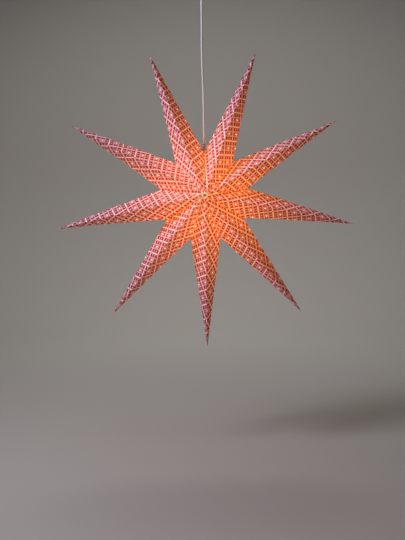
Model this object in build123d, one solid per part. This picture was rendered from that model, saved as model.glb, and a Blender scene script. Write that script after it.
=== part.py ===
from build123d import *
import math
import os

# A fold-out paper star on a round flex. Sizes are in millimetres, +Z is up and the front faces -Y.
# The origin is the middle of the face that lies against the ceiling.

# Star: nine hollow points of folded and glued paper
star_drop = 740.0  # from the ceiling to the line through both eyelets
tip_radius = 500.0
valley_radius = 145.0
half_depth = 130.0  # from the middle of the star to its front apex
points_each_side = 4  # beside the bottom point
paper_thickness = 0.4
flap_width = 9.0  # glue flap along each notch
glue_line = 0.1  # between two glued flaps

# Eyelets that gather the nine points at the front and the back
eyelet_barrel_radius = 4.0
eyelet_bore_radius = 3.2
eyelet_flange_radius = 5.6
eyelet_roll_radius = 5.4
eyelet_wall = 0.6
eyelet_barrel_length = 8.0
eyelet_fit = 0.25  # paper to barrel
eyelet_seat_fit = 0.05  # ridges to flange

# Open seam at the top: stiff cards inside, strips of hook and loop tape between
card_thickness = 0.8
card_width = 13.0
card_inset = 1.2  # from the folded edge of the paper
folded_spread = 1.0  # degrees that each point still spans when the star is folded up
card_room = 0.3  # between the folded seam's cards, at their ends by the apexes
tape_thickness = 0.8
tape_length = 36.0
tape_width = 7.0
tape_reach = 30.0  # from the star's middle to the middle of each strip
tape_fit = 0.05

# Flex
cord_radius = 3.0
cord_top_drop = 10.0
cord_fit = 0.3  # round the flex in every hole it turns in
cord_end_gap = 0.2  # from the flex's end to the lampholder's carrier
cord_points = [
    (0.0, -cord_top_drop),
    (0.0, -140.0),
    (-2.5, -275.0),
    (1.5, -405.0),
    (0.0, -535.0),
]  # (x, z) of the bends, from the ceiling down
cord_arc_share = 0.45  # of the shorter run beside each bend

# Clear hanger: a sleeve that stands on the lampholder, with a collar and two wings
hanger_rise = 30.0  # collar top above the valley
hanger_wall = 1.3
hanger_neck_rise = 9.0  # the sleeve is slim up to here above the valley
hanger_head_radius = 6.2
collar_radius = 7.0
collar_height = 2.2
wing_rise = 17.0  # middle of the wings above the valley
wing_span = 27.0
wing_depth = 5.0
wing_height = 3.0
wing_round = 0.9
wing_fit = 0.4
cord_hole_fit = 0.7  # paper to sleeve

# Lampholder, small screw size
holder_top = 100.0  # cap's neck above the middle of the star
holder_radius = 14.0
holder_wall = 1.6
cap_neck_radius = 6.5
cap_neck_height = 9.0
cap_height = 20.0
cap_slope = 6.0  # height of the sloping shoulder
cap_ledge = 1.2  # inside, that the barrel and the carrier seat on
barrel_length = 34.0
barrel_bore_radius = 10.6
spigot_length = 5.0
spigot_fit = 0.1
rim_height = 3.0
rim_proud = 0.9
carrier_thickness = 7.0
carrier_fit = 0.1
shell_bore_radius = 7.15
shell_wall = 0.35
shell_length = 22.0
shell_flange_radius = 10.0
shell_flange_thickness = 0.6
contact_radius = 2.6
contact_thickness = 0.5
contact_dome = 0.8
grip_screw_radius = 1.5
grip_screw_head_radius = 2.6
grip_screw_head_length = 2.0
grip_screw_fit = 0.1

# Bulb: a closed opal tube on a small screw base
tube_radius = 13.0
tube_length = 50.0  # below the lampholder's mouth
tube_shoulder = 8.0
tube_mouth_room = 1.1  # round the tube's neck in the lampholder's mouth
tube_bevel = 5.0
tube_bevel_drop = 3.5
tube_in_base = 5.0
bulb_base_radius = 6.8
bulb_base_wall = 0.3
bulb_base_length = 17.0
insulator_height = 3.6
insulator_tip_radius = 3.2
bulb_contact_radius = 2.3
bulb_contact_height = 1.4
bulb_gap = 0.2  # bulb's contact to the lampholder's contact
bulb_fit = 0.1  # tube to base

# Ceiling strap with its folded tab
slot_spacing = 72.0
slot_length = 12.0
slot_width = 4.5
slot_to_end = 10.0  # from a slot's middle to the strap's end
strap_width = 24.0
strap_thickness = 1.5
strap_corner = 5.0
tab_length = 22.0
tab_width = 18.0
clamp_height = 10.0
clamp_thickness = 2.0
clamp_screw_radius = 1.5
clamp_screw_spacing = 12.0
clamp_head_radius = 2.6
clamp_head_height = 1.8
clamp_fit = 0.1
block_length = 16.0
block_width = 18.0
block_height = 13.0
block_round = 1.0
block_place = -19.0  # middle of the block along the strap
block_pitch = 9.0
block_screw_radius = 1.7
block_screw_depth = 3.0
block_well_radius = 2.0

# Ceiling cup and its cord grip
cup_strap_room = 1.4  # from the strap's corners to the cup
cup_height = 56.0
cup_wall = 2.0
cup_bevel = 2.0
cup_ceiling_gap = 0.5
grip_stem_radius = 5.0
grip_flange_radius = 8.0
grip_flange_thickness = 2.0
grip_foot_length = 10.0
grip_foot_radius = 6.5
grip_screw_rise = 4.0  # above the grip's foot
grip_cord_fit = 0.6
grip_nut_across = 14.0
grip_nut_height = 4.0
grip_stem_above_nut = 2.0
grip_fit = 0.1

# Worked out from the sizes above
point_count = 2 * points_each_side + 1
point_angle = 360.0 / point_count
half_angle = math.radians(point_angle / 2)
star_z = -star_drop
valley_z = star_z + valley_radius
seam_offset = tape_thickness + tape_fit
card_offset = seam_offset + paper_thickness + glue_line
card_start = (card_offset + card_thickness + card_room) / math.tan(
    math.radians(point_count * folded_spread / 2)
)
strap_length = slot_spacing + 2 * slot_to_end
cup_radius = cup_strap_room + cup_wall + strap_corner + math.hypot(
    strap_length / 2 - strap_corner, strap_width / 2 - strap_corner
)
cord_hole_radius = cord_radius + cord_fit + hanger_wall + cord_hole_fit
notch_run = math.hypot(valley_radius, half_depth)

os.makedirs("parts", exist_ok=True)


def write(name, shape):
    export_step(shape, f"parts/{name}.step")


def turned(profile_points):
    """A piece turned about Z from (radius, height) points."""
    outline = make_face(Polyline(*[(r, 0, z) for r, z in profile_points], close=True))
    return revolve(outline, Axis.Z)


def in_seam_plane(points, thickness, offset):
    """A flat plate drawn as (radius, y) points in the plane of the top seam, offset along +X."""
    outline = make_face(Polyline(*points, close=True))
    face = Plane(origin=(offset, 0, star_z), x_dir=(0, 0, 1), z_dir=(-1, 0, 0)) * outline
    return extrude(face, thickness, dir=(1, 0, 0))


# One paper point, drawn with its tip along +X and the star's middle at the origin
def panel_planes():
    tip = Vector(tip_radius, 0, 0)
    planes = []
    for front in (-1, 1):
        for side in (-1, 1):
            apex = Vector(0, front * half_depth, 0)
            valley = Vector(
                valley_radius * math.cos(half_angle), 0, side * valley_radius * math.sin(half_angle)
            )
            normal = (tip - apex).cross(valley - apex).normalized()
            outwards = normal if normal.dot(apex) > 0 else -normal
            planes.append(Plane(origin=tip, z_dir=outwards))
    return planes


def seam_plane(side, inset):
    """The plane of one notch, facing out of the point and moved inwards by inset."""
    normal = Vector(-math.sin(half_angle), 0, side * math.cos(half_angle))
    return Plane(origin=-normal * inset, z_dir=normal)


def trimmed(planes):
    block = Pos(tip_radius / 2, 0, 0) * Box(
        tip_radius * 1.2, half_depth * 2.4, valley_radius * 2.4
    )
    for plane in planes:
        block = split(block, bisect_by=plane, keep=Keep.BOTTOM)
    return block


def paper_point(insets):
    """A hollow folded point with glue flaps. insets are what each notch stands back from its seam."""
    outer = trimmed(panel_planes() + [seam_plane(s, i) for s, i in zip((-1, 1), insets)])
    hollow = trimmed(
        [p.offset(-paper_thickness) for p in panel_planes()]
        + [seam_plane(s, i + paper_thickness) for s, i in zip((-1, 1), insets)]
    )
    # The notch is open inside its flaps, so the nine hollows make one room for the lamp
    mouth_half = half_depth - flap_width * notch_run / valley_radius
    mouth_reach = mouth_half * valley_radius * math.cos(half_angle) / half_depth
    mouth_outline = make_face(
        Polyline(
            (-mouth_reach, mouth_half * 2),
            (mouth_reach, 0),
            (-mouth_reach, -mouth_half * 2),
            close=True,
        )
    )
    mouth = extrude(mouth_outline, valley_radius, both=True)
    apex_hole = Rot(90, 0, 0) * Cylinder(eyelet_barrel_radius + eyelet_fit, half_depth * 2.2)
    roll_face = eyelet_seat() - eyelet_barrel_length
    roll_room = Rot(90, 0, 0) * Cylinder(
        eyelet_roll_radius + eyelet_fit, 2 * (roll_face + eyelet_fit)
    )
    return outer - hollow - mouth - apex_hole - roll_room


def eyelet_seat():
    """How far in front of the star's middle the nine ridges meet the eyelet's flange."""
    return half_depth * (1 - (eyelet_barrel_radius + eyelet_fit) / tip_radius) + eyelet_seat_fit


def placed(point, azimuth):
    """A point turned so that its tip lies at azimuth, from +X towards +Z, and hung in the star."""
    return Pos(0, 0, star_z) * Rot(0, -azimuth, 0) * point


def cord_hole():
    return Pos(0, 0, valley_z) * Cylinder(cord_hole_radius, valley_radius)


def wing_slots():
    return Pos(0, 0, valley_z + wing_rise) * Box(
        wing_span + 2 * wing_fit, wing_depth + 2 * wing_fit, wing_height + 2 * wing_fit
    )


def paper_points():
    glued = glue_line / 2
    plain = paper_point((glued, glued))
    write("star_point_bottom", placed(plain, -90))
    for k in range(1, points_each_side):
        write(f"star_point_right_{k}", placed(plain, -90 + k * point_angle))
        write(f"star_point_left_{k}", placed(plain, -90 - k * point_angle))
    last = points_each_side
    right = placed(paper_point((glued, seam_offset)), -90 + last * point_angle)
    left = placed(paper_point((seam_offset, glued)), -90 - last * point_angle)
    write(f"star_point_right_{last}", right - cord_hole() - wing_slots())
    write(f"star_point_left_{last}", left - cord_hole() - wing_slots())


# Each eyelet is a turned barrel with a closed, flanged head outside and a rolled edge inside
def eyelets():
    length = eyelet_barrel_length
    profile = [
        (eyelet_bore_radius, -length - eyelet_wall),
        (eyelet_roll_radius, -length - eyelet_wall),
        (eyelet_roll_radius, -length),
        (eyelet_barrel_radius, -length),
        (eyelet_barrel_radius, 0),
        (eyelet_flange_radius, 0),
        (eyelet_flange_radius - eyelet_wall / 2, eyelet_wall),
        (0, eyelet_wall),
        (0, 0),
        (eyelet_bore_radius, 0),
    ]
    eyelet = turned(profile)
    middle = Pos(0, 0, star_z)
    write("front_eyelet", middle * Pos(0, -eyelet_seat(), 0) * Rot(90, 0, 0) * eyelet)
    write("back_eyelet", middle * Pos(0, eyelet_seat(), 0) * Rot(-90, 0, 0) * eyelet)


# Cards and tape of the open seam, on the right of it and mirrored to the left
def seam_edge_inset(inset):
    """The (radius, y) line parallel to the front notch edge, as its y at radius 0."""
    return half_depth - inset * notch_run / valley_radius


def seam_card():
    slope = half_depth / valley_radius
    near, far = seam_edge_inset(card_inset), seam_edge_inset(card_inset + card_width)
    clear = cord_hole_radius + cord_fit
    band = [
        (0, near),
        ((near - clear) / slope, clear),
        ((far - clear) / slope, clear),
        (0, far),
    ]
    plate = in_seam_plane(band, card_thickness, card_offset)
    apex = Pos(0, 0, star_z) * Rot(90, 0, 0) * Cylinder(card_start, half_depth * 2.2)
    return plate - apex


def seam_tape():
    y = seam_edge_inset(card_inset + tape_width / 2) - tape_reach * half_depth / valley_radius
    lean = math.degrees(math.atan2(half_depth, valley_radius))
    strip = Box(tape_thickness - tape_fit, tape_width, tape_length)
    return Pos(tape_fit + tape_thickness / 2, y, star_z + tape_reach) * Rot(lean, 0, 0) * strip


def seam():
    card, tape = seam_card(), seam_tape()
    to_front, to_left = Plane.XZ, Plane.YZ
    write("seam_card_right_back", card)
    write("seam_card_right_front", mirror(card, to_front))
    write("seam_card_left_back", mirror(card, to_left))
    write("seam_card_left_front", mirror(mirror(card, to_left), to_front))
    write("seam_hook_tabs", Compound([tape, mirror(tape, to_front)]))
    left_tape = mirror(tape, to_left)
    write("seam_loop_tabs", Compound([left_tape, mirror(left_tape, to_front)]))


# The flex hangs nearly straight, as the weight below it holds it
def cord():
    holder_z = star_z + holder_top
    cord_end = holder_z - cap_neck_height - cap_height + spigot_length + cord_end_gap
    route = [Vector(x, 0, z) for x, z in cord_points] + [Vector(0, 0, cord_end)]
    runs = [b - a for a, b in zip(route, route[1:])]
    radii = []
    for before, after in zip(runs, runs[1:]):
        turn = math.radians(before.get_angle(after))
        radii.append(cord_arc_share * min(before.length, after.length) / math.tan(turn / 2))
    path = FilletPolyline(*route, radius=radii)
    tube = sweep(Plane(origin=path @ 0, z_dir=path % 0) * Circle(cord_radius), path=path)
    print("flex length", round(path.length, 1), "bend radii", [round(r) for r in radii])
    print("flex volume", round(tube.volume), "of", round(math.pi * cord_radius**2 * path.length))
    write("hanging_cord", tube)


def hanger():
    """The clear moulding: sleeve, flared head, collar and wings in one piece."""
    bore = cord_radius + cord_fit
    foot = star_z + holder_top
    slim = bore + hanger_wall
    neck_z = valley_z + hanger_neck_rise
    top = valley_z + hanger_rise
    sleeve = turned(
        [
            (bore, foot),
            (slim, foot),
            (slim, neck_z),
            (hanger_head_radius, top - collar_height),
            (collar_radius, top - collar_height),
            (collar_radius, top),
            (bore, top),
        ]
    )
    wing_z = valley_z + wing_rise
    bar = Pos(0, 0, wing_z) * Box(wing_span, wing_depth, wing_height)
    bar = fillet(bar.edges().filter_by(Axis.Y), wing_round)
    bar -= Pos(0, 0, wing_z) * Cylinder(bore, wing_height * 2)
    write("cord_hanger", sleeve + bar)


# Lampholder, from its cap down to its rim
def lampholder():
    top = star_z + holder_top
    shoulder = top - cap_neck_height
    skirt = shoulder - cap_height
    bore = cord_radius + cord_fit
    inner = holder_radius - holder_wall
    seat_z = skirt + spigot_length  # the barrel's spigot and the carrier reach up to here

    hollow = inner - cap_ledge
    cap = turned(
        [
            (bore, top),
            (cap_neck_radius, top),
            (cap_neck_radius, shoulder),
            (holder_radius, shoulder - cap_slope),
            (holder_radius, skirt),
            (inner, skirt),
            (inner, seat_z),
            (hollow, seat_z),
            (hollow, shoulder - cap_slope),
            (bore, shoulder - cap_slope),
        ]
    )
    screw_z = top - cap_neck_height / 2
    screw_bore = Pos(0, -cap_neck_radius / 2, screw_z) * Rot(90, 0, 0) * Cylinder(
        grip_screw_radius + grip_screw_fit, cap_neck_radius
    )
    write("lampholder_cap", cap - screw_bore)

    stem_start = cord_radius + grip_screw_fit
    stem = cap_neck_radius + grip_screw_fit - stem_start
    screw = turned(
        [
            (0, 0),
            (grip_screw_radius, 0),
            (grip_screw_radius, stem),
            (grip_screw_head_radius, stem),
            (grip_screw_head_radius, stem + grip_screw_head_length),
            (0, stem + grip_screw_head_length),
        ]
    )
    write("cord_grip_screw", Pos(0, -stem_start, screw_z) * Rot(90, 0, 0) * screw)

    carrier_bottom = seat_z - carrier_thickness
    spigot_radius = inner - spigot_fit
    barrel_bottom = skirt - barrel_length
    rim_radius = holder_radius + rim_proud
    barrel = turned(
        [
            (barrel_bore_radius, barrel_bottom),
            (rim_radius, barrel_bottom),
            (rim_radius, barrel_bottom + rim_height),
            (holder_radius, barrel_bottom + rim_height + rim_proud),
            (holder_radius, skirt - spigot_fit),
            (spigot_radius, skirt - spigot_fit),
            (spigot_radius, seat_z - spigot_fit),
            (barrel_bore_radius, seat_z - spigot_fit),
        ]
    )
    write("lampholder_body", barrel)

    carrier_radius = barrel_bore_radius - carrier_fit
    carrier = turned(
        [(0, carrier_bottom), (carrier_radius, carrier_bottom), (carrier_radius, seat_z), (0, seat_z)]
    )
    write("lampholder_carrier", carrier)

    shell_outer = shell_bore_radius + shell_wall
    flange = carrier_bottom - shell_flange_thickness
    shell = turned(
        [
            (shell_bore_radius, carrier_bottom - shell_length),
            (shell_outer, carrier_bottom - shell_length),
            (shell_outer, flange),
            (shell_flange_radius, flange),
            (shell_flange_radius, carrier_bottom),
            (shell_bore_radius, carrier_bottom),
        ]
    )
    write("lampholder_shell", shell)

    dome_z = carrier_bottom - contact_thickness
    contact = turned(
        [
            (0, dome_z - contact_dome),
            (contact_radius / 2, dome_z - contact_dome),
            (contact_radius, dome_z),
            (contact_radius, carrier_bottom),
            (0, carrier_bottom),
        ]
    )
    write("centre_contact", contact)
    bulb(dome_z - contact_dome - bulb_gap, barrel_bottom)


def bulb(top, mouth_z):
    """The bulb, from its contact at height top, out through the lampholder's mouth at mouth_z."""
    contact_z = top - bulb_contact_height
    insulator_z = contact_z - insulator_height
    base_z = insulator_z - bulb_base_length
    write(
        "bulb_contact",
        turned([(0, contact_z), (bulb_contact_radius, contact_z), (bulb_contact_radius, top), (0, top)]),
    )
    insulator = turned(
        [
            (0, insulator_z),
            (bulb_base_radius, insulator_z),
            (insulator_tip_radius, contact_z),
            (0, contact_z),
        ]
    )
    write("bulb_insulator", insulator)
    bore = bulb_base_radius - bulb_base_wall
    base = turned(
        [
            (bore, base_z),
            (bulb_base_radius, base_z),
            (bulb_base_radius, insulator_z),
            (0, insulator_z),
            (0, insulator_z - bulb_base_wall),
            (bore, insulator_z - bulb_base_wall),
        ]
    )
    write("bulb_base", base)

    neck = bore - bulb_fit
    tube = turned(
        [
            (0, base_z + tube_in_base),
            (neck, base_z + tube_in_base),
            (neck, base_z),
            (barrel_bore_radius - tube_mouth_room, mouth_z),
            (tube_radius, mouth_z - tube_shoulder),
            (tube_radius, mouth_z - tube_length + tube_bevel_drop),
            (tube_radius - tube_bevel, mouth_z - tube_length),
            (0, mouth_z - tube_length),
        ]
    )
    write("bulb_tube", tube)


# Ceiling strap, with a tab cut from it and folded down beside the flex
def ceiling_strap():
    tab_x = cord_radius + clamp_fit
    strap = extrude(RectangleRounded(strap_length, strap_width, strap_corner), -strap_thickness)
    slot = extrude(SlotOverall(slot_length, slot_width), -3 * strap_thickness, both=True)
    strap -= [Pos(s * slot_spacing / 2, 0, 0) * slot for s in (-1, 1)]
    window = Pos(tab_x + strap_thickness + tab_length / 2, 0, 0) * Box(
        tab_length, tab_width, 4 * strap_thickness
    )
    strap -= window
    tab = Pos(tab_x + strap_thickness / 2, 0, -tab_length / 2) * Box(
        strap_thickness, tab_width, tab_length
    )
    clamp_z = -tab_length + clamp_height / 2 + strap_thickness
    hole = Rot(0, 90, 0) * Cylinder(clamp_screw_radius + clamp_fit, 4 * strap_length)
    holes = [Pos(0, s * clamp_screw_spacing / 2, clamp_z) * hole for s in (-1, 1)]
    write("ceiling_bracket", strap + tab - holes)

    plate_x = -cord_radius - clamp_fit - clamp_thickness
    plate = Pos(plate_x + clamp_thickness / 2, 0, clamp_z) * Box(
        clamp_thickness, tab_width, clamp_height
    )
    plate = fillet(plate.edges().filter_by(Axis.X), clamp_thickness)
    write("cord_clamp", plate - holes)

    length = tab_x + strap_thickness - plate_x + clamp_fit + clamp_thickness
    screw = turned(
        [
            (0, -clamp_head_height),
            (clamp_head_radius, -clamp_head_height),
            (clamp_head_radius, 0),
            (clamp_screw_radius, 0),
            (clamp_screw_radius, length),
            (0, length),
        ]
    )
    screws = [
        Pos(plate_x - clamp_fit, s * clamp_screw_spacing / 2, clamp_z) * Rot(0, 90, 0) * screw
        for s in (-1, 1)
    ]
    write("clamp_screws", Compound(screws))


def terminals():
    block = Pos(block_place, 0, -strap_thickness - block_height / 2) * Box(
        block_length, block_width, block_height
    )
    block = fillet(block.edges().filter_by(Axis.Z), block_round)
    bottom = -strap_thickness - block_height
    places = [
        (block_place + sx * block_length / 4, sy * block_pitch / 2) for sx in (-1, 1) for sy in (-1, 1)
    ]
    well = Cylinder(block_well_radius, 2 * block_screw_depth)
    write("terminal_block", block - [Pos(x, y, bottom) * well for x, y in places])
    screw = Cylinder(block_screw_radius, block_screw_depth - clamp_fit)
    lift = bottom + (block_screw_depth + clamp_fit) / 2
    screws = [Pos(x, y, lift) * screw for x, y in places]
    write("terminal_screws", Compound(screws))


# Ceiling cup with the grip that holds it on the flex
def cup():
    rim_z = -cup_ceiling_gap
    floor_z = rim_z - cup_height
    hole = grip_stem_radius + grip_fit
    inner = cup_radius - cup_wall
    body = turned(
        [
            (hole, floor_z),
            (cup_radius - cup_bevel, floor_z),
            (cup_radius, floor_z + cup_bevel),
            (cup_radius, rim_z),
            (inner, rim_z),
            (inner, floor_z + cup_wall),
            (hole, floor_z + cup_wall),
        ]
    )
    write("ceiling_cup", body)

    bore = cord_radius + grip_cord_fit
    nut_z = floor_z + cup_wall + grip_fit
    stem_top = nut_z + grip_nut_height + grip_stem_above_nut
    under = floor_z - grip_fit
    foot_z = under - grip_foot_length
    grip = turned(
        [
            (bore, foot_z),
            (grip_foot_radius, foot_z),
            (grip_foot_radius, under - grip_flange_thickness),
            (grip_flange_radius, under - grip_flange_thickness),
            (grip_flange_radius, under),
            (grip_stem_radius, under),
            (grip_stem_radius, stem_top),
            (bore, stem_top),
        ]
    )
    screw_z = foot_z + grip_screw_rise
    screw_hole = Pos(0, -grip_foot_radius, screw_z) * Rot(90, 0, 0) * Cylinder(
        grip_screw_radius + grip_fit, 2 * grip_foot_radius
    )
    write("cup_grip", grip - screw_hole)
    nut = Pos(0, 0, nut_z + grip_nut_height / 2) * extrude(
        RegularPolygon(grip_nut_across / 2, 6, major_radius=False), grip_nut_height / 2, both=True
    )
    write("cup_grip_nut", nut - Pos(0, 0, nut_z) * Cylinder(hole, 4 * grip_nut_height))
    stem_start = cord_radius + grip_screw_fit
    stem = grip_flange_radius - stem_start
    screw = Pos(0, -stem_start, screw_z) * Rot(90, 0, 0) * turned(
        [(0, 0), (grip_screw_radius, 0), (grip_screw_radius, stem), (0, stem)]
    )
    write("cup_grip_screw", screw)


paper_points()
eyelets()
seam()
cord()
hanger()
lampholder()
ceiling_strap()
terminals()
cup()
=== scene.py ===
import math

import bmesh
import bpy
from mathutils import Matrix, Vector
from mathutils.bvhtree import BVHTree


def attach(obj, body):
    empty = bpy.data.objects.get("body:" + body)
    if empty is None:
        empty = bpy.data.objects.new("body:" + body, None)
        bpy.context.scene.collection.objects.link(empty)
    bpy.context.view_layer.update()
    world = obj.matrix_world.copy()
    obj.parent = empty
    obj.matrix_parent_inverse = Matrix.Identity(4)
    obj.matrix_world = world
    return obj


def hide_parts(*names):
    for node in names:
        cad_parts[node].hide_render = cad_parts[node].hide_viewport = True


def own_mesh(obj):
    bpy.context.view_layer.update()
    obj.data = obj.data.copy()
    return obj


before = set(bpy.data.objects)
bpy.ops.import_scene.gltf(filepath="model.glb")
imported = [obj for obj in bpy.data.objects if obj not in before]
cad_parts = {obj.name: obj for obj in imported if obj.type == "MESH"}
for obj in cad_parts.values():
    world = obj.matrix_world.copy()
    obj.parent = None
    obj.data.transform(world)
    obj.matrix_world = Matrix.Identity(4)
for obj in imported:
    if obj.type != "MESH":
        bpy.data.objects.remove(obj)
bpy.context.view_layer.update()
print("frame loaded")

# metres, +Z up, front faces -Y, the origin is where the strap meets the ceiling
star = {
    "middle": Vector((0, 0, -0.740)),
    "tipRadius": 0.500,
    "valleyRadius": 0.145,
    "halfDepth": 0.130,
    "pointAngle": math.radians(40),
}
lamp = {
    "middle": Vector((0, 0, -0.735)),
    "reach": 0.190,  # over which its glow in the paper fades by a factor e
    "atZero": 1.43,
    "most": 0.72,
    "holeReach": 0.22,  # the same for the punched holes
    "holeAtZero": 2.6,
}

# camera
view = {
    "place": (0.004, -2.490, -0.837),
    "pitchDown": 3.34,
    "turnLeft": 0.37,
    "roll": 1.01,
    "lens": 50,
    "sensor": 36,
}
cameraData = bpy.data.cameras.new("camera")
cameraData.lens = view["lens"]
cameraData.sensor_width = view["sensor"]
camera = bpy.data.objects.new("camera", cameraData)
camera.matrix_world = (
    Matrix.Translation(view["place"])
    @ Matrix.Rotation(math.radians(view["turnLeft"]), 4, "Z")
    @ Matrix.Rotation(math.radians(90 - view["pitchDown"]), 4, "X")
    @ Matrix.Rotation(math.radians(-view["roll"]), 4, "Z")
)
bpy.context.scene.collection.objects.link(camera)
bpy.context.scene.camera = camera
print("camera ready")


# node trees, written as expressions
class Term:  # one socket; the operators add Math nodes
    def __init__(self, maker, socket):
        self.maker, self.socket = maker, socket

    def maths(self, operation, *others):
        return self.maker.add("ShaderNodeMath", {"operation": operation}, dict(enumerate((self,) + others)))

    def out(self, name):
        return Term(self.maker, self.socket.node.outputs[name])

    def __add__(self, other):
        return self.maths("ADD", other)

    def __sub__(self, other):
        return self.maths("SUBTRACT", other)

    def __mul__(self, other):
        return self.maths("MULTIPLY", other)

    def __truediv__(self, other):
        return self.maths("DIVIDE", other)

    def __pow__(self, other):
        return self.maths("POWER", other)

    def __neg__(self):
        return self * -1.0

    def __radd__(self, other):
        return self + other

    def __rmul__(self, other):
        return self * other

    def __rsub__(self, other):
        return self.maker.number(other) - self

    def __rtruediv__(self, other):
        return self.maker.number(other) / self

    def __rpow__(self, other):
        return self.maker.number(other) ** self

    def size(self):
        return self.maths("ABSOLUTE")

    def sign(self):
        return self.maths("SIGN")

    def floor(self):
        return self.maths("FLOOR")

    def sine(self):
        return self.maths("SINE")

    def cosine(self):
        return self.maths("COSINE")

    def root(self):
        return self.maths("SQRT")

    def power(self):
        return self.maths("EXPONENT")

    def angleFrom(self, other):
        return self.maths("ARCTAN2", other)

    def least(self, other):
        return self.maths("MINIMUM", other)

    def most(self, other):
        return self.maths("MAXIMUM", other)

    def wrap(self, span):
        return self.maths("WRAP", span / 2, -span / 2)

    def pingPong(self, span):
        return self.maths("PINGPONG", span)

    def ramp(self, low, high):  # from 0 at low to 1 at high, held outside
        settings = {"clamp": True, "interpolation_type": "SMOOTHSTEP"}
        return self.maker.add("ShaderNodeMapRange", settings, {0: self, 1: low, 2: high})


class TreeMaker:
    def __init__(self, tree):
        self.tree = tree

    def add(self, kind, settings=None, inputs=None, output=0):
        node = self.tree.nodes.new(kind)
        for name, value in (settings or {}).items():
            setattr(node, name, value)
        for name, value in (inputs or {}).items():
            if isinstance(value, Term):
                self.tree.links.new(value.socket, node.inputs[name])
            elif value is not None:
                node.inputs[name].default_value = value
        return Term(self, node.outputs[output]) if node.outputs else None

    def number(self, value):
        return self.add("ShaderNodeMath", {"operation": "ADD"}, {0: value, 1: 0.0})

    def blend(self, factor, low, high):  # colours
        settings = {"data_type": "RGBA", "clamp_factor": True}
        return self.add("ShaderNodeMix", settings, {0: factor, 6: low, 7: high}, 2)

    def colour(self, term, factor):  # a colour times a value
        settings = {"operation": "SCALE"}
        return self.add("ShaderNodeVectorMath", settings, {0: term, "Scale": factor})

    def vectors(self, operation, first, second):
        return self.add("ShaderNodeVectorMath", {"operation": operation}, {0: first, 1: second})

    def circle(self, sides, radius):
        return self.add("GeometryNodeCurvePrimitiveCircle", None, {"Resolution": sides, "Radius": radius})

    def parts(self, vector):
        split = self.add("ShaderNodeSeparateXYZ", None, {0: vector})
        return split, split.out("Y"), split.out("Z")

    def vector(self, x, y, z=0.0):
        return self.add("ShaderNodeCombineXYZ", None, {0: x, 1: y, 2: z})

    def noise(self, place, scale, detail=2.0, roughness=0.5):
        inputs = {"Vector": place, "Scale": scale, "Detail": detail, "Roughness": roughness}
        return self.add("ShaderNodeTexNoise", None, inputs)

    def place(self):
        return self.add("ShaderNodeTexCoord").out("Object")

    def stretched(self, scale):  # the same, longer or shorter along each axis
        return self.add("ShaderNodeMapping", None, {0: self.place(), 3: scale})


def finish(name, fixed, paint=None):  # a material: fixed socket values, then what paint() feeds
    material = bpy.data.materials.new(name)
    material.use_nodes = True
    shader = material.node_tree.nodes["Principled BSDF"]
    for socket, value in fixed.items():
        shader.inputs[socket].default_value = value
    if paint:
        maker = TreeMaker(material.node_tree)
        for socket, term in paint(maker).items():
            maker.tree.links.new(term.socket, shader.inputs[socket])
    return material


def raised(maker, height, distance, strength):  # a bump for the Normal socket
    return maker.add("ShaderNodeBump", None, {"Strength": strength, "Distance": distance, "Height": height})


# the printed paper: a square trellis with a punched hole in the middle of each square
printed = {
    "side": 0.044,
    "acrossScale": 0.80,  # the print's width against its length on the sheet
    "lineHalf": 0.0014,
    "lineEdge": (1.4, 0.8),  # shares of lineHalf, from clear to full
    "lineBreak": (0.0012, 0.0030),  # where the lines stop short of a crossing
    "crossing": (0.0030, 0.0020),
    "leafOut": 0.0190,  # from the hole to the four dark leaves, along the diagonals
    "leafHalf": (0.0062, 0.0040),
    "leafEdge": (1.1, 0.75),
    "budOut": 0.0138,  # to the four lighter buds, straight towards the lines
    "budHalf": (0.0034, 0.0050),
    "budEdge": (1.1, 0.7),
    "petals": 8,
    "petalEdge": (-0.3, 0.4),
    "petalInside": (0.0048, 0.0058),
    "petalOutside": (0.0098, 0.0086),
    "halo": (0.0040, 0.0030),
    "laceSteps": 6,  # small scrolls across one square
    "laceEdge": (0.6, 1.4),
    "laceShare": 0.7,
    "scrollEdge": (-0.4, -1.2),
    "scrollInside": (0.0045, 0.0056),
    "scrollShare": 0.8,
    "fineShare": 0.55,
    "speckShare": 0.25,
    "speck": 520,  # scales of the grain: the ink's, the sheet's clouds and its fibre
    "blotch": 9,
    "grain": 240,
    "crease": (0.02, 0.005),
    "creaseShare": 0.25,
    "sheetGround": (0.44, 0.25, 0.38, 1),
    "sheetLine": (0.96, 0.88, 0.90, 1),
    "sheetLeaf": (0.17, 0.002, 0.075, 1),
    "sheetBud": (0.20, 0.010, 0.110, 1),
    "glowGround": (1.05, 0.255, 0.045, 1),
    "glowLine": (1.55, 0.540, 0.135, 1),
    "glowLeaf": (0.50, 0.012, 0.002, 1),
    "glowBud": (0.60, 0.040, 0.006, 1),
}


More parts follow.
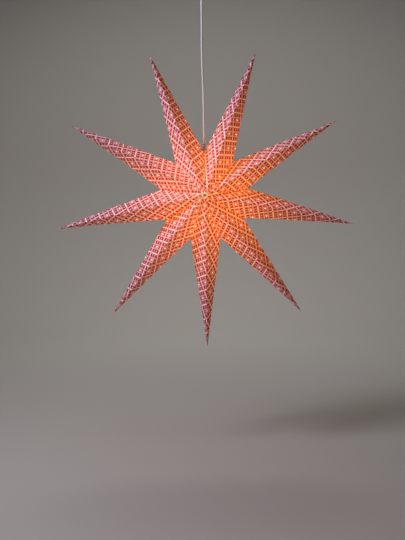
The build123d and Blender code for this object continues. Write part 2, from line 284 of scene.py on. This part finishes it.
def motif(maker, cell):  # masks over one square of the print
    side = printed["side"]
    x, y, _ = maker.parts(cell)
    fromX, fromY = x.wrap(side).size(), y.wrap(side).size()
    far, near = fromX.most(fromY), fromX.least(fromY)
    toEdge, toCorner = side / 2 - far, side / 2 - near
    lineLow, lineHigh = (printed["lineHalf"] * share for share in printed["lineEdge"])
    line = toEdge.ramp(lineLow, lineHigh) * toCorner.ramp(*printed["lineBreak"])
    along = ((fromX + fromY) * math.sqrt(0.5) - printed["leafOut"]) / printed["leafHalf"][0]
    aside = (fromX - fromY).size() * math.sqrt(0.5) / printed["leafHalf"][1]
    leaf = (along ** 2 + aside).ramp(*printed["leafEdge"])
    along = (far - printed["budOut"]).size() / printed["budHalf"][0]
    aside = near / printed["budHalf"][1]
    bud = (along + aside ** 2).ramp(*printed["budEdge"])
    crossing = (toEdge + toCorner).ramp(*printed["crossing"])
    away = (fromX ** 2 + fromY ** 2).root()
    turn = y.wrap(side).angleFrom(x.wrap(side))
    petal = (turn * printed["petals"]).cosine().ramp(*printed["petalEdge"])
    petal = petal * away.ramp(*printed["petalInside"]) * away.ramp(*printed["petalOutside"])
    step = 2 * math.pi * printed["laceSteps"] / side
    lace = (x * step).cosine() + (y * step).cosine()
    scroll = lace.ramp(*printed["scrollEdge"]) * away.ramp(*printed["scrollInside"])
    fill = lace.ramp(*printed["laceEdge"]) * printed["laceShare"]
    fine = petal.most(away.ramp(*printed["halo"])).most(fill)
    return line, leaf, bud.most(crossing), scroll, fine


def glowAt(maker, reach, atZero):  # how strongly the lamp shines through the paper here
    away = maker.add("ShaderNodeVectorMath", {"operation": "DISTANCE"},
                     {0: maker.place(), 1: tuple(lamp["middle"])}, "Value")
    return (away * (-1 / reach)).power() * atZero


def paintPaper(maker):
    cell = maker.add("ShaderNodeUVMap", {"uv_map": "sheet"})
    line, leaf, bud, scroll, fine = motif(maker, cell)
    grain = maker.noise(maker.place(), printed["grain"], 3, 0.6)
    blotch = maker.noise(maker.place(), printed["blotch"], 2, 0.5)
    speck = maker.noise(cell, printed["speck"], 2, 0.7).ramp(0.40, 0.62)

    def layers(kind):
        base = maker.blend(speck * printed["speckShare"], printed[kind + "Ground"], printed[kind + "Bud"])
        base = maker.blend(fine * printed["fineShare"], base, printed[kind + "Line"])
        base = maker.blend(bud.most(scroll * printed["scrollShare"]), base, printed[kind + "Bud"])
        base = maker.blend(leaf, base, printed[kind + "Leaf"])
        return maker.blend(line, base, printed[kind + "Line"])

    # the lamp's light through the paper is painted on as emission, weaker away from the lamp
    light = glowAt(maker, lamp["reach"], lamp["atZero"]).least(lamp["most"])
    light = light * (grain * 0.16 + blotch * 0.24 + 0.80)
    fold = maker.add("ShaderNodeUVMap", {"uv_map": "fold"})
    across, _, _ = maker.parts(fold)
    # along the folds the sheet turns paler and the painted glow is dimmed there: painted shade in the
    # creases
    crease = across.pingPong(0.5).ramp(*printed["crease"]) * printed["creaseShare"]
    return {
        "Base Color": maker.blend(crease, layers("sheet"), printed["sheetLine"]),
        "Emission Color": maker.colour(layers("glow"), light * (1 - crease)),
        "Roughness": grain * 0.15 + 0.55,
        "Normal": raised(maker, grain + line * 0.5, 0.0001, 0.6),
    }


# what shows from inside the star, with the lamp's light painted on it, and the light painted in the punched
# holes
insideLook = {"deep": (1.0, 0.34, 0.11, 1), "warm": (1.0, 0.42, 0.16, 1), "share": 0.6}
holeLook = {"far": (1.0, 0.50, 0.20, 1), "near": (1.0, 0.90, 0.74, 1)}


def paintInside(maker):
    grain = maker.noise(maker.place(), printed["grain"], 3, 0.6)
    warm = maker.blend(grain, insideLook["deep"], insideLook["warm"])
    light = glowAt(maker, lamp["reach"], lamp["atZero"]).least(lamp["most"])
    return {
        "Emission Color": maker.colour(warm, light * insideLook["share"]),
        "Normal": raised(maker, grain, 0.0001, 0.5),
    }


def paintPunched(maker):
    light = glowAt(maker, lamp["holeReach"], lamp["holeAtZero"]).least(1.0)
    colour = maker.blend(light, holeLook["far"], holeLook["near"])
    return {"Emission Color": maker.colour(colour, light)}


def paintPlastic(maker, colour, mark, scale, low):
    grain = maker.noise(maker.place(), scale, 2)
    cloud = maker.noise(maker.place(), 40, 3)
    return {
        "Base Color": maker.blend(cloud.ramp(0.3, 0.75) * 0.6, colour, mark),
        "Roughness": grain * 0.10 + cloud * 0.08 + low,
        "Normal": raised(maker, grain, 0.00005, 0.35),
    }


def paintMetal(maker, colour, dark, scale, low):
    brushed = maker.noise(maker.stretched((1, 1, 8)), scale, 3, 0.6)
    cloud = maker.noise(maker.place(), 60, 3)
    return {
        "Base Color": maker.blend(cloud.ramp(0.35, 0.7), colour, dark),
        "Roughness": brushed * 0.14 + cloud * 0.12 + low,
        "Normal": raised(maker, brushed, 0.00003, 0.4),
    }


cardLook = {"dark": (0.26, 0.17, 0.12, 1), "light": (0.42, 0.30, 0.22, 1), "fibre": 420}
tapeLook = {"dark": (0.10, 0.10, 0.11, 1), "light": (0.30, 0.30, 0.31, 1), "loops": 4200}
flexLook = {"clean": (0.95, 0.94, 0.92, 1), "worn": (0.86, 0.84, 0.80, 1), "marks": 160, "grain": 900}
opalLook = {"tube": (1.0, 0.74, 0.42, 1), "collar": (0.55, 0.30, 0.12, 1), "collarFrom": (-0.712, -0.700)}


def paintCard(maker):
    fibre = maker.noise(maker.stretched((1, 5, 1)), cardLook["fibre"], 4, 0.7)
    return {
        "Base Color": maker.blend(fibre.ramp(0.35, 0.65), cardLook["dark"], cardLook["light"]),
        "Normal": raised(maker, fibre, 0.0002, 0.6),
    }


def paintTape(maker):
    _, y, z = maker.parts(maker.place())
    # the tape is painted darker between its raised loops, on the same mask as their bump: painted shade in
    # the hollows
    loops = ((y * tapeLook["loops"]).sine() * (z * tapeLook["loops"]).sine()).ramp(-0.3, 0.6)
    return {
        "Base Color": maker.blend(loops, tapeLook["dark"], tapeLook["light"]),
        "Normal": raised(maker, loops, 0.0004, 0.9),
    }


def paintFlex(maker):
    mark = maker.noise(maker.stretched((1, 1, 0.15)), flexLook["marks"], 3)
    grain = maker.noise(maker.place(), flexLook["grain"], 2)
    return {
        "Base Color": maker.blend(mark.ramp(0.4, 0.75) * 0.5, flexLook["clean"], flexLook["worn"]),
        "Roughness": grain * 0.12 + 0.34,
        "Normal": raised(maker, grain + mark, 0.00008, 0.4),
    }


def paintClear(maker):
    flow = maker.noise(maker.place(), 120, 2)
    return {"Roughness": flow * 0.10 + 0.06, "Normal": raised(maker, flow, 0.0003, 0.5)}


def paintOpal(maker):
    _, _, z = maker.parts(maker.place())
    collar = z.ramp(*opalLook["collarFrom"])
    milk = maker.noise(maker.place(), 90, 2)
    glow = maker.blend(collar, opalLook["tube"], opalLook["collar"])
    return {"Emission Color": maker.colour(glow, milk * 0.15 + 0.9), "Roughness": milk * 0.1 + 0.3}


# each: name, coat, colour, second colour, scale of the grain, least roughness
plastics = {
    "holder": ("holderPlastic", 0.15, (0.82, 0.80, 0.76, 1), (0.74, 0.71, 0.66, 1), 600, 0.30),
    "ceramic": ("holderCeramic", 0.0, (0.80, 0.78, 0.72, 1), (0.66, 0.62, 0.55, 1), 900, 0.20),
    "glass": ("insulatorGlass", 0.6, (0.03, 0.025, 0.04, 1), (0.07, 0.05, 0.09, 1), 500, 0.10),
    "nylon": ("nylon", 0.0, (0.83, 0.82, 0.78, 1), (0.72, 0.70, 0.64, 1), 700, 0.40),
    "cup": ("cupPlastic", 0.2, (0.86, 0.85, 0.82, 1), (0.80, 0.78, 0.74, 1), 500, 0.25),
}
# each: name, how metallic, colour, second colour, scale of the grain, least roughness
metals = {
    "nickel": ("nickelPlate", 1.0, (0.74, 0.72, 0.68, 1), (0.58, 0.55, 0.51, 1), 300, 0.22),
    "zinc": ("zincSteel", 1.0, (0.62, 0.62, 0.61, 1), (0.45, 0.45, 0.44, 1), 220, 0.30),
    "brass": ("screwBrass", 1.0, (0.80, 0.60, 0.30, 1), (0.55, 0.38, 0.17, 1), 300, 0.22),
    "eyelet": ("eyeletBrass", 0.15, (0.78, 0.66, 0.50, 1), (0.62, 0.51, 0.37, 1), 300, 0.35),
}
# each: name, what paints it, settings
others = {
    "paper": ("printedPaper", paintPaper, {"Emission Strength": 1.0, "Specular IOR Level": 0.3}),
    "inside": ("paperInside", paintInside, {
        "Base Color": (0.86, 0.82, 0.76, 1), "Roughness": 0.8, "Emission Strength": 1.0}),
    "punched": ("punchedLight", paintPunched, {"Base Color": (0.9, 0.8, 0.7, 1), "Emission Strength": 2.2}),
    "card": ("stiffCard", paintCard, {"Roughness": 0.85}),
    "tape": ("hookTape", paintTape, {"Roughness": 0.9, "Sheen Weight": 0.3}),
    "flex": ("flexSheath", paintFlex, {"Specular IOR Level": 0.45}),
    "clear": ("clearPlastic", paintClear, {
        "Base Color": (0.93, 0.90, 0.86, 1), "Transmission Weight": 0.92, "IOR": 1.49}),
    "opal": ("opalPlastic", paintOpal, {"Base Color": (0.93, 0.90, 0.84, 1), "Emission Strength": 0.9}),
}
materials = {label: finish(name, fixed, paint) for label, (name, paint, fixed) in others.items()}
for family, socket, paint in ((plastics, "Coat Weight", paintPlastic), (metals, "Metallic", paintMetal)):
    for label, (name, value, *look) in family.items():
        materials[label] = finish(name, {socket: value}, lambda maker: paint(maker, *look))
print("materials ready")


# small helpers for pieces
def keep(mesh, name, body, stands=()):  # a finished piece on its body
    piece = bpy.data.objects.new(name, mesh)
    bpy.context.scene.collection.objects.link(piece)
    if stands:
        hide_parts(*stands)
    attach(piece, body)
    return piece


def grown(tree, values, mesh=None):  # runs a Geometry Nodes tree and returns a plain mesh
    holder = bpy.data.objects.new("growing", mesh or bpy.data.meshes.new("empty"))
    bpy.context.scene.collection.objects.link(holder)
    modifier = holder.modifiers.new("rule", "NODES")
    modifier.node_group = tree
    for item in tree.interface.items_tree:
        if item.item_type == "SOCKET" and item.in_out == "INPUT" and item.name in values:
            modifier[item.identifier] = values[item.name]
    made = bpy.data.meshes.new_from_object(holder.evaluated_get(bpy.context.evaluated_depsgraph_get()))
    bpy.data.objects.remove(holder)
    return made


def ruleTree(name, inputs):  # an empty tree with named inputs
    tree = bpy.data.node_groups.new(name, "GeometryNodeTree")
    tree.interface.new_socket("Geometry", in_out="INPUT", socket_type="NodeSocketGeometry")
    for label, value in inputs.items():
        kind = {int: "NodeSocketInt", float: "NodeSocketFloat", tuple: "NodeSocketVector"}[type(value)]
        tree.interface.new_socket(label, in_out="INPUT", socket_type=kind).default_value = value
    tree.interface.new_socket("Geometry", in_out="OUTPUT", socket_type="NodeSocketGeometry")
    maker = TreeMaker(tree)
    entry = maker.add("NodeGroupInput")
    return tree, maker, entry


def endTree(maker, geometry, material=None):
    made = maker.add("GeometryNodeRealizeInstances", None, {0: geometry})
    if material:
        made = maker.add("GeometryNodeSetMaterial", None, {0: made, "Material": material})
    maker.add("NodeGroupOutput", None, {0: made})


# the flex
flex = {
    "route": [(0, -0.010), (0, -0.140), (-0.0025, -0.275), (0.0015, -0.405), (0, -0.535), (0, -0.6638)],
    "diameter": 0.006,
    "length": 0.6538,
    "order": 3,
    "steps": 16,  # between two points of the route
    "sideSteps": 6,
}
flexCurve = bpy.data.curves.new("flex", "CURVE")
flexCurve.dimensions = "3D"
spline = flexCurve.splines.new("NURBS")
spline.points.add(len(flex["route"]) - 1)
for point, (x, z) in zip(spline.points, flex["route"]):
    point.co = (x, 0, z, 1)
spline.order_u = flex["order"]
spline.use_endpoint_u = True
spline.resolution_u = flex["steps"]
flexCurve.bevel_depth = flex["diameter"] / 2
flexCurve.bevel_resolution = flex["sideSteps"]
flexCurve.use_fill_caps = True
flexCurve.materials.append(materials["flex"])
flexPiece = bpy.data.objects.new("flex", flexCurve)
bpy.context.scene.collection.objects.link(flexPiece)
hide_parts("hanging_cord")
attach(flexPiece, "ceiling_strap")
print("flex hung")

# the nine paper points
paper = {
    "thickness": 0.0004,
    "flap": 0.009,
    "columns": 12,  # across each panel
    "rows": 44,
    "bow": 0.0011,
    "waves": 0.0010,
    "waveScale": 14.0,
    "sagCurve": 1.6,  # a point bends more towards its tip
    "barrelRoom": 0.0046,  # the eyelets' barrels stand inside the paper
    "glueInset": 0.00005,
    "seamInset": 0.00085,
    "weld": 0.00002,
    "sharpFrom": 20,  # degrees
}
punched = {
    "radius": 0.0018,
    "rim": 0.0003,
    "sides": 10,
    "rimSides": 3,
    "lightLift": 0.00015,  # the light stands this far up in the rim
    "lift": 0.00012,  # the rim's middle stands this far off the paper
    "look": 0.03,  # how far off the skin is looked for, outwards and inwards
    "squares": 16,  # of the print, each way from the tip
    "fromTip": 0.05,
    "toNotch": 0.985,  # share of the way from the tip to the notches
}
halfAngle = star["pointAngle"] / 2
valleyOut = star["valleyRadius"] * math.cos(halfAngle)
valleyAside = star["valleyRadius"] * math.sin(halfAngle)
ridgeLength = math.hypot(star["tipRadius"], star["halfDepth"])
edgeLength = math.hypot(star["tipRadius"] - valleyOut, valleyAside)
notchLength = math.hypot(star["valleyRadius"], star["halfDepth"])
fan = math.acos((ridgeLength ** 2 + edgeLength ** 2 - notchLength ** 2) / (2 * ridgeLength * edgeLength))
flapShare = paper["flap"] * notchLength / (star["valleyRadius"] * star["halfDepth"])
acrossSlope = star["halfDepth"] * (1 - valleyOut / star["tipRadius"]) / valleyAside
outward = Vector((star["halfDepth"] / star["tipRadius"], 1, acrossSlope)).normalized()


def foldedPointTree():  # a sheet wrapped round four panels, with its glue flaps turned in
    tree, maker, entry = ruleTree("foldedPoint", {
        "columns": 4 * paper["columns"] + 1,
        "rows": paper["rows"] + 1,
        "azimuth": (0.0, 0.0, 0.0),
        "insetOut": 0.0,
        "insetAside": 0.0,
        "lean": 0.0,
        "printTurn": 0.0,
        "printShift": (0.0, 0.0, 0.0),
    })
    across, up = entry.out("columns"), entry.out("rows")
    grid = maker.add("GeometryNodeMeshGrid", None,
                     {"Size X": 4.0, "Size Y": 1.0, "Vertices X": across, "Vertices Y": up})
    u, v, _ = maker.parts(maker.add("GeometryNodeInputPosition"))
    last = up - 1
    row = (v + 0.5) * last
    along = ((row - 1) / (last - 1)).most(0.0)
    flap = (1 - row).most(0.0)
    rest = 1 - along
    aside = (u + 1).pingPong(2.0) - 1
    deep = u.size() - 1
    ring = rest * (1 - flap * flapShare)
    cell = u.floor()
    share = u - cell

    # the same place on the flat sheet, measured from the tip
    def reachTo(corner):
        return ridgeLength + corner.pingPong(1.0) * (edgeLength - ridgeLength)

    ahead = cell + 1
    flatRest = rest + flap * (paper["flap"] / valleyOut)
    nearReach, nearTurn = (1 - share) * reachTo(cell), cell * fan
    farReach, farTurn = share * reachTo(ahead), ahead * fan
    flatX = flatRest * (nearReach * nearTurn.cosine() + farReach * farTurn.cosine())
    flatY = flatRest * (nearReach * nearTurn.sine() + farReach * farTurn.sine())
    flat = maker.vector(flatX, flatY * printed["acrossScale"])
    turned = maker.add("ShaderNodeVectorRotate", {"rotation_type": "Z_AXIS"},
                       {"Vector": flat, "Angle": -entry.out("printTurn")})
    onPrint = maker.vectors("SUBTRACT", turned, entry.out("printShift"))

    ripple = maker.noise(maker.vectors("ADD", flat, entry.out("azimuth")), paper["waveScale"], 1.0)
    middle = share * (1 - share) * 4
    bow = middle * (along * math.pi).sine() * paper["bow"]
    swell = bow + middle * rest * (ripple - 0.5) * paper["waves"] * 2
    sag = (along ** paper["sagCurve"]) * entry.out("lean")
    x = ring * aside.size() * valleyOut + along * star["tipRadius"] + rest * entry.out("insetOut")
    x = x.most(paper["barrelRoom"])
    y = ring * deep * star["halfDepth"]
    z = ring * aside * valleyAside + rest * entry.out("insetAside") + sag
    place = maker.vector(x + swell * outward.x, y + swell * deep.sign() * outward.y,
                         z + swell * aside.sign() * outward.z)

    # each map is kept on the corners, so closing the sheet's back edge keeps it whole
    kept = grid
    for name, value in (("sheet", onPrint), ("fold", maker.vector(u + 2, along))):
        kept = maker.add("GeometryNodeStoreNamedAttribute", {"data_type": "FLOAT2", "domain": "CORNER"},
                         {"Geometry": kept, "Name": name, "Value": value})
    moved = maker.add("GeometryNodeSetPosition", None, {"Geometry": kept, "Position": place})
    closed = maker.add("GeometryNodeMergeByDistance", None, {"Geometry": moved, "Distance": paper["weld"]})
    hung = {"Geometry": closed, "Translation": tuple(star["middle"]), "Rotation": entry.out("azimuth")}
    turned = maker.add("GeometryNodeTransform", None, hung)
    outwards = maker.add("GeometryNodeFlipFaces", None, {"Mesh": turned})
    smooth = maker.add("GeometryNodeSetShadeSmooth", None, {"Geometry": outwards})
    endTree(maker, smooth, materials["paper"])
    return tree


def punchedTree():  # a small pressed hole with the light in it, on every point that it is given
    tree, maker, entry = ruleTree("punchedHoles", {"radius": punched["radius"], "rim": punched["rim"]})
    ring = maker.circle(punched["sides"], entry.out("radius"))
    bead = maker.circle(punched["rimSides"], entry.out("rim"))
    rim = maker.add("GeometryNodeCurveToMesh", None, {0: ring, 1: bead})
    rim = maker.add("GeometryNodeSetMaterial", None, {0: rim, "Material": materials["paper"]})
    disc = maker.add("GeometryNodeMeshCircle", {"fill_type": "NGON"},
                     {"Vertices": punched["sides"], "Radius": entry.out("radius")})
    disc = maker.add("GeometryNodeTransform", None, {0: disc, "Translation": (0, 0, punched["lightLift"])})
    disc = maker.add("GeometryNodeSetMaterial", None, {0: disc, "Material": materials["punched"]})
    both = maker.add("GeometryNodeJoinGeometry")
    for form in (rim, disc):
        maker.tree.links.new(form.socket, both.socket.node.inputs[0])
    facing = maker.add("GeometryNodeInputNamedAttribute", {"data_type": "FLOAT_VECTOR"}, {"Name": "facing"})
    turn = maker.add("FunctionNodeAlignRotationToVector", {"axis": "Z"}, {"Vector": facing})
    spots = maker.add("GeometryNodeMeshToPoints", None, {0: entry.out("Geometry")})
    placed = {"Points": spots, "Instance": both, "Rotation": turn}
    endTree(maker, maker.add("GeometryNodeInstanceOnPoints", None, placed))
    return tree


pointTree, holeTree = foldedPointTree(), punchedTree()


def sheetCorner(number):  # the end of one edge of a panel on the flat sheet, measured from the tip
    reach = (ridgeLength, edgeLength)[number % 2]
    return reach * Vector((math.cos(number * fan), math.sin(number * fan)))


def holePlaces(turn, shift):  # the print's holes on the four panels, as (place across, share to the tip)
    steps = range(-punched["squares"], punched["squares"] + 1)
    for column, line in ((column, line) for column in steps for line in steps):
        cell = Vector((column * printed["side"] + shift[0], line * printed["side"] + shift[1]))
        hole = Matrix.Rotation(turn, 2) @ cell
        hole.y /= printed["acrossScale"]
        panel = math.floor(math.atan2(hole.y, hole.x) / fan)
        if not -2 <= panel < 2 or hole.length < punched["fromTip"]:
            continue
        near, far = sheetCorner(panel), sheetCorner(panel + 1)
        whole = near.x * far.y - near.y * far.x
        nearShare = (hole.x * far.y - hole.y * far.x) / whole
        farShare = (near.x * hole.y - near.y * hole.x) / whole
        if nearShare + farShare < punched["toNotch"]:
            yield panel + farShare / (nearShare + farShare), 1 - nearShare - farShare


def onPoint(u, along, azimuth):  # where that place lies in the hanging star, and which way its panel faces
    aside = 1 - abs((u + 1) % 4 - 2)
    place = Vector(((1 - along) * abs(aside) * valleyOut + along * star["tipRadius"],
                    (1 - along) * (abs(u) - 1) * star["halfDepth"], (1 - along) * aside * valleyAside))
    facing = Vector((outward.x, math.copysign(outward.y, abs(u) - 1), math.copysign(outward.z, aside)))
    turn = Matrix.Rotation(-azimuth, 3, "Y")
    return turn @ place + star["middle"], turn @ facing


def joined(meshes, name):  # several meshes as one, with their materials and maps
    pieces = [bpy.data.objects.new("part", mesh) for mesh in meshes]
    for piece in pieces:
        bpy.context.scene.collection.objects.link(piece)
    first = pieces[0]
    with bpy.context.temp_override(active_object=first, object=first, selected_objects=pieces,
                                   selected_editable_objects=pieces):
        bpy.ops.object.join()
    mesh = first.data
    bpy.data.objects.remove(first)
    mesh.name = name
    return mesh


def punchedHoles(holder, values, azimuth):  # the print's holes, set on the folded sheet's outer skin
    skin = BVHTree.FromObject(holder, bpy.context.evaluated_depsgraph_get())
    found = []
    for u, along in holePlaces(values["printTurn"], values["printShift"]):
        place, facing = onPoint(u, along, azimuth)
        hit = skin.ray_cast(place + facing * punched["look"], -facing, 2 * punched["look"])[0]
        if hit:
            found.append((hit + facing * punched["lift"], facing))
    dots = bpy.data.meshes.new("dots")
    dots.from_pydata([place for place, _ in found], [], [])
    facings = dots.attributes.new("facing", "FLOAT_VECTOR", "POINT")
    for item, (_, facing) in zip(facings.data, found):
        item.vector = facing
    return grown(holeTree, {"radius": punched["radius"], "rim": punched["rim"]}, dots)


def paperPoint(name, node, body, degrees, lean, roll, insets, cuts=()):
    azimuth = math.radians(degrees)
    near, far = insets
    values = {
        "columns": 4 * paper["columns"] + 1,
        "rows": paper["rows"] + 1,
        "azimuth": (0.0, -azimuth, 0.0),
        "insetOut": (near + far) / (2 * math.sin(halfAngle)),
        "insetAside": (near - far) / (2 * math.cos(halfAngle)),
        "lean": math.tan(math.radians(lean)) * star["tipRadius"],
        "printTurn": math.radians(laid["turn"]),
        "printShift": (roll[0] * printed["side"], roll[1] * printed["side"], 0.0),
    }
    sheet = grown(pointTree, values)
    holder = bpy.data.objects.new("folding", sheet)
    bpy.context.scene.collection.objects.link(holder)
    sheet.materials.append(materials["inside"])
    wall = holder.modifiers.new("wall", "SOLIDIFY")
    wall.thickness, wall.offset = paper["thickness"], -1
    wall.use_even_offset = True
    wall.material_offset = wall.material_offset_rim = 1
    for cutter in cuts:
        cut = holder.modifiers.new("cut", "BOOLEAN")
        cut.object, cut.operation, cut.solver = cutter, "DIFFERENCE", "EXACT"
    folded = bpy.data.meshes.new_from_object(holder.evaluated_get(bpy.context.evaluated_depsgraph_get()))
    folded.set_sharp_from_angle(angle=math.radians(paper["sharpFrom"]))
    holes = punchedHoles(holder, values, azimuth)
    bpy.data.objects.remove(holder)
    piece = keep(joined([folded, holes], name), name, body, [node])
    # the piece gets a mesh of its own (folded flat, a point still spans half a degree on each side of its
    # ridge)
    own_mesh(piece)
    return piece


# room for the clear hanger at the open seam
hangerRoom = {
    "radius": 0.0053,
    "depth": 0.145,
    "sides": 32,
    "wing": (0.0278, 0.0058, 0.0038),
    "wingUp": 0.017,
}
valleyTop = star["middle"].z + star["valleyRadius"]


def sleeveRoom(form):
    radius = hangerRoom["radius"]
    bmesh.ops.create_cone(form, cap_ends=True, segments=hangerRoom["sides"], radius1=radius, radius2=radius,
                          depth=hangerRoom["depth"], matrix=Matrix.Translation((0, 0, valleyTop)))


def wingRoom(form):
    place = Matrix.Translation((0, 0, valleyTop + hangerRoom["wingUp"]))
    bmesh.ops.create_cube(form, size=1, matrix=place @ Matrix.Diagonal((*hangerRoom["wing"], 1)))


def cutterObject(build):
    mesh = bpy.data.meshes.new("cutter")
    form = bmesh.new()
    build(form)
    form.to_mesh(mesh)
    form.free()
    cutter = bpy.data.objects.new("cutter", mesh)
    bpy.context.scene.collection.objects.link(cutter)
    cutter.hide_render = True
    return cutter


# how the points hang, and how their sheets are cut one after another from one printed roll
laid = {
    "sag": 1.3,  # degrees that a level point droops by its own weight
    "turn": 60,  # degrees between a sheet and the roll
    "first": (0.5, 0.5),  # shares of a printed square
    "step": (0.4, 0.15),
}
pointTurns = {
    "bottom": -90,
    "right_1": -50,
    "right_2": -10,
    "right_3": 30,
    "right_4": 70,
    "left_1": -130,
    "left_2": -170,
    "left_3": 150,
    "left_4": 110,
}
glued, seam = paper["glueInset"], paper["seamInset"]
besideSeam = {"right_4": (glued, seam), "left_4": (seam, glued)}
cutters = [cutterObject(build) for build in (sleeveRoom, wingRoom)]
for number, (label, degrees) in enumerate(pointTurns.items()):
    body = "pendant" if label == "bottom" else "point_" + label
    lean = -laid["sag"] * math.cos(math.radians(degrees))
    roll = [(first + number * step) % 1 for first, step in zip(laid["first"], laid["step"])]
    insets = besideSeam.get(label, (glued, glued))
    cuts = cutters if label in besideSeam else ()
    paperPoint("paperPoint_" + label, "star_point_" + label, body, degrees, lean, roll, insets, cuts)
for cutter in cutters:
    bpy.data.objects.remove(cutter)
print("paper points folded")

# the rolled thread on the bulb's base
bulbThread = {
    "radius": 0.00662,
    "bead": 0.00036,
    "beadSides": 8,
    "pitch": 0.00282,
    "turns": 5.0,
    "turnSteps": 40,
    "low": -0.6925,
}
threadValues = {
    "radius": bulbThread["radius"],
    "bead": bulbThread["bead"],
    "turns": bulbThread["turns"],
    "height": bulbThread["turns"] * bulbThread["pitch"],
    "low": (0.0, 0.0, bulbThread["low"]),
}


def threadTree():  # a bead wound up the base
    tree, maker, entry = ruleTree("rolledThread", threadValues)
    radius = entry.out("radius")
    coil = maker.add("GeometryNodeCurveSpiral", None, {
        "Resolution": bulbThread["turnSteps"], "Rotations": entry.out("turns"),
        "Start Radius": radius, "End Radius": radius, "Height": entry.out("height")})
    bead = maker.circle(bulbThread["beadSides"], entry.out("bead"))
    wound = maker.add("GeometryNodeCurveToMesh", None, {0: coil, 1: bead, "Fill Caps": True})
    lifted = maker.add("GeometryNodeTransform", None, {"Geometry": wound, "Translation": entry.out("low")})
    smooth = maker.add("GeometryNodeSetShadeSmooth", None, {"Geometry": lifted})
    endTree(maker, smooth, materials["nickel"])
    return tree


keep(grown(threadTree(), threadValues), "bulbThread", "bulb")
print("bulb thread wound")

# finishes of the pieces that come straight from the frame
finishes = {
    "card": ["seam_card_right_front", "seam_card_right_back", "seam_card_left_front", "seam_card_left_back"],
    "tape": ["seam_hook_tabs", "seam_loop_tabs"],
    "eyelet": ["front_eyelet", "back_eyelet"],
    "clear": ["cord_hanger"],
    "holder": ["lampholder_cap", "lampholder_body"],
    "ceramic": ["lampholder_carrier"],
    "nickel": ["lampholder_shell", "centre_contact", "bulb_base"],
    "opal": ["bulb_tube"],
    "glass": ["bulb_insulator"],
    "brass": ["bulb_contact", "terminal_screws"],
    "nylon": ["terminal_block", "cord_grip_screw", "cup_grip_screw"],
    "zinc": ["ceiling_bracket", "cord_clamp", "clamp_screws"],
    "cup": ["ceiling_cup", "cup_grip", "cup_grip_nut"],
}
for label, nodes in finishes.items():
    for node in nodes:
        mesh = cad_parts[node].data
        mesh.materials.clear()
        mesh.materials.append(materials[label])
print("frame pieces finished")

# stage: a pale round floor that curves up all round, with the cameras inside it
stage = {
    "floor": -1.62,
    "inner": 0.4,
    "flat": 2.0,
    "radius": 4.6,
    "bend": 1.4,
    "bendSteps": 12,
    "top": 3.4,
    "sides": 96,
    "colour": (0.62, 0.60, 0.57, 1),
    "roughness": 0.9,
}
profile = [(stage["inner"], stage["floor"]), (stage["flat"], stage["floor"])]
for step in range(stage["bendSteps"] + 1):
    turn = math.radians(90 * step / stage["bendSteps"])
    profile.append((stage["radius"] - stage["bend"] + stage["bend"] * math.sin(turn),
                    stage["floor"] + stage["bend"] - stage["bend"] * math.cos(turn)))
profile.append((stage["radius"], stage["top"]))
sweep = bmesh.new()
middle = sweep.verts.new((0, 0, stage["floor"]))
turns = [2 * math.pi * side / stage["sides"] for side in range(stage["sides"])]
rows = [[sweep.verts.new((radius * math.cos(turn), radius * math.sin(turn), height)) for turn in turns]
        for radius, height in profile]
for side in range(stage["sides"]):
    beside = (side + 1) % stage["sides"]
    sweep.faces.new((middle, rows[0][side], rows[0][beside]))
    for low, high in zip(rows, rows[1:]):
        sweep.faces.new((low[side], high[side], high[beside], low[beside]))
floorMesh = bpy.data.meshes.new("floor")
sweep.to_mesh(floorMesh)
sweep.free()
for face in floorMesh.polygons:
    face.use_smooth = True
paleFloor = finish("paleFloor", {"Base Color": stage["colour"], "Roughness": stage["roughness"]})
floorMesh.materials.append(paleFloor)
floor = bpy.data.objects.new("floor", floorMesh)
bpy.context.scene.collection.objects.link(floor)
print("stage set")

# light, each: place, aim, width, watts, colour, spread in degrees
lights = {
    "windowSide": ((-1.40, -0.95, 0.30), (0, 0, -0.60), 0.6, 23, (0.92, 0.90, 1.0), 180),
    "overBack": ((0.0, 1.9, 2.6), (0, 3.3, -1.6), 1.6, 24, (1.0, 0.97, 0.93), 110),
    "overFront": ((0.0, -1.9, 2.6), (0, -3.3, -1.6), 1.6, 8, (1.0, 0.88, 0.72), 110),
}
allRound = {"colour": (0.90, 0.93, 1.0, 1), "strength": 0.010}


def softLight(name, place, aim, size, power, colour, spread):
    data = bpy.data.lights.new(name, "AREA")
    data.shape, data.size, data.energy, data.color = "DISK", size, power, colour
    data.spread = math.radians(spread)
    light = bpy.data.objects.new(name, data)
    light.location = place
    light.rotation_mode = "QUATERNION"
    light.rotation_quaternion = (Vector(aim) - Vector(place)).to_track_quat("-Z", "Y")
    light.visible_camera = False
    bpy.context.scene.collection.objects.link(light)


for name, values in lights.items():
    softLight(name, *values)
world = bpy.data.worlds.new("studio")
world.use_nodes = True
background = world.node_tree.nodes["Background"]
background.inputs["Color"].default_value = allRound["colour"]
background.inputs["Strength"].default_value = allRound["strength"]
bpy.context.scene.world = world
bpy.context.scene.view_settings.view_transform = "Standard"
print("lit")
